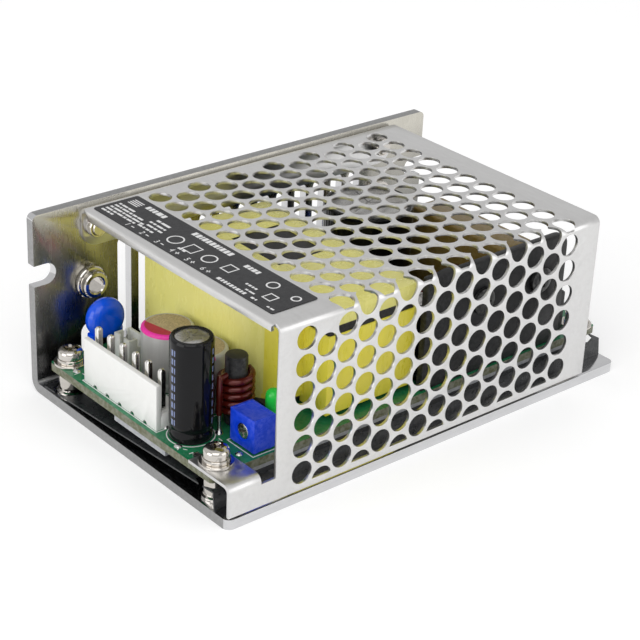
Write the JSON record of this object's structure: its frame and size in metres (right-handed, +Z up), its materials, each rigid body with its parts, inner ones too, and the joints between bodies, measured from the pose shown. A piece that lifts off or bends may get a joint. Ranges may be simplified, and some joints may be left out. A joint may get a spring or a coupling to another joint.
{
  "type": "enclosed switching power supply",
  "caption": "Enclosed switching power supply: a folded sheet chassis with slots, a cover with round holes in a staggered pattern, and a fitted circuit board with pin headers at both ends.",
  "frame": {"origin": "centre of the underside of the chassis base", "axes": "+X along the length towards the mains input end, +Y towards the folded chassis wall, +Z up"},
  "size_m": [0.0984, 0.062, 0.037],
  "materials": {
    "chassis_metal": "mill finish, reflective",
    "cover_metal": "mill finish, satin",
    "label_foil": "matt printed foil",
    "nickel_steel": "nickel plated",
    "tinned_metal": "tin plated",
    "board_green": "solder mask over laminate",
    "film_black": "matt",
    "pad_grey": "soft, matt",
    "connector_white": "moulded",
    "disc_blue": "dipped coating",
    "disc_green": "dipped coating",
    "can_metal": "drawn can",
    "sleeve_black": "shrunk film",
    "ferrite_grey": "sintered",
    "copper_red": "enamelled copper",
    "trimmer_blue": "moulded",
    "lamp_green": "clear coloured epoxy",
    "tape_yellow": "polyester tape",
    "bobbin_black": "moulded",
    "sink_black": "black anodised",
    "epoxy_black": "moulded",
    "box_yellow": "moulded"
  },
  "bodies": {
    "supply": {"chassis": "chassis_metal", "cover": "cover_metal", "label": "label_foil", "wall_inserts": "nickel_steel", "flange_inserts": "nickel_steel", "flange_screws": "nickel_steel", "standoffs": "nickel_steel", "circuit_board": "board_green", "flat_washers": "nickel_steel", "spring_washers": "nickel_steel", "board_screws": "nickel_steel", "insulating_film": "film_black", "front_heat_pad": "pad_grey", "side_heat_pad": "pad_grey", "output_header": "connector_white", "output_pins": "tinned_metal", "input_header": "connector_white", "input_pins": "tinned_metal", "fan_header": "connector_white", "fan_pins": "tinned_metal", "disc_capacitor": "disc_blue", "varistor": "disc_blue", "thermistor": "disc_green", "safety_capacitors": "disc_blue", "polymer_capacitors": "can_metal", "output_capacitor_can": "can_metal", "output_capacitor_sleeve": "sleeve_black", "bulk_capacitor_can": "can_metal", "bulk_capacitor_sleeve": "sleeve_black", "auxiliary_capacitor": "sleeve_black", "choke_core": "ferrite_grey", "choke_winding": "copper_red", "trimmer_body": "trimmer_blue", "status_led": "lamp_green", "transformer_core": "ferrite_grey", "transformer_winding": "tape_yellow", "transformer_bobbin": "bobbin_black", "transformer_tape": "tape_yellow", "heat_sink": "sink_black", "power_transistor": "epoxy_black", "bridge_rectifier": "epoxy_black", "sink_fasteners": "nickel_steel", "boost_choke_core": "ferrite_grey", "boost_choke_winding": "copper_red", "line_filter_core": "ferrite_grey", "line_filter_windings": "copper_red", "box_capacitor": "box_yellow", "fuse": "epoxy_black", "optocoupler": "epoxy_black"},
    "rotor": {"trimmer_rotor": "tinned_metal"}
  },
  "joints": [
    {"name": "trimmer_turn", "type": "hinge", "parent": "supply", "child": "rotor", "pos_m": [-0.0377, -0.021, 0.0115], "axis": [1, 0, 0], "range_deg": [-120, 120]}
  ]
}
